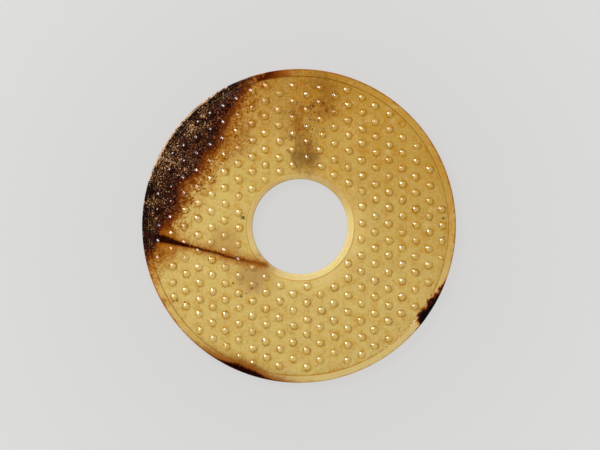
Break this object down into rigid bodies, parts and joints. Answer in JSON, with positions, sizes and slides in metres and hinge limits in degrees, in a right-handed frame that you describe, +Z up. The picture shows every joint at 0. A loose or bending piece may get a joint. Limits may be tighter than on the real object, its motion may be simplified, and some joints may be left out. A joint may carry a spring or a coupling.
{
  "type": "jade bi disc",
  "caption": "Flat round disc of aged yellow-brown jade with a large central hole, plain raised rims and a field of small raised grains in staggered rows on both faces.",
  "frame": {"origin": "middle of the underside, on the plane that the disc lies on", "axes": "+Z up out of the pictured face, +Y towards the top of the picture, +X towards its right"},
  "size_m": [0.14, 0.14, 0.005],
  "materials": {
    "jade": "polished"
  },
  "bodies": {
    "root": {"jade_disc": "jade"}
  },
  "joints": []
}
